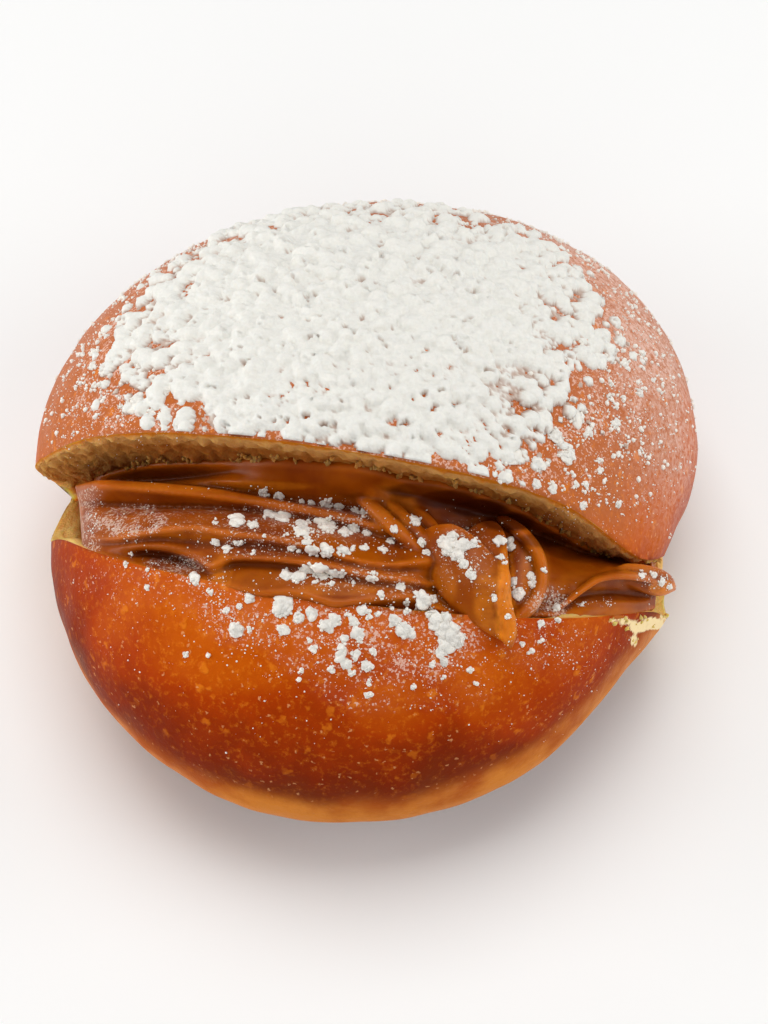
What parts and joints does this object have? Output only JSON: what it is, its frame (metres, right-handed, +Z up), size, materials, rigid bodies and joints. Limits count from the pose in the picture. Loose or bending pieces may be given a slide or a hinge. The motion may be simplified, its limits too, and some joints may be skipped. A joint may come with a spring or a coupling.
{
  "type": "berliner doughnut",
  "caption": "Round fried doughnut, slit and opened like a mouth, with a thick folded caramel filling and clumps of powdered sugar.",
  "frame": {"origin": "middle of the base, below the middle of the object's box", "axes": "+Z up from the base, -Y towards the mouth, +X to the right when looking into the mouth"},
  "size_m": [0.0912, 0.0944, 0.0538],
  "materials": {
    "bun": "browned crust, cut crumb and powdered sugar",
    "filling": "glossy caramel"
  },
  "bodies": {
    "root": {"bun": "bun", "filling": "filling"}
  },
  "joints": []
}
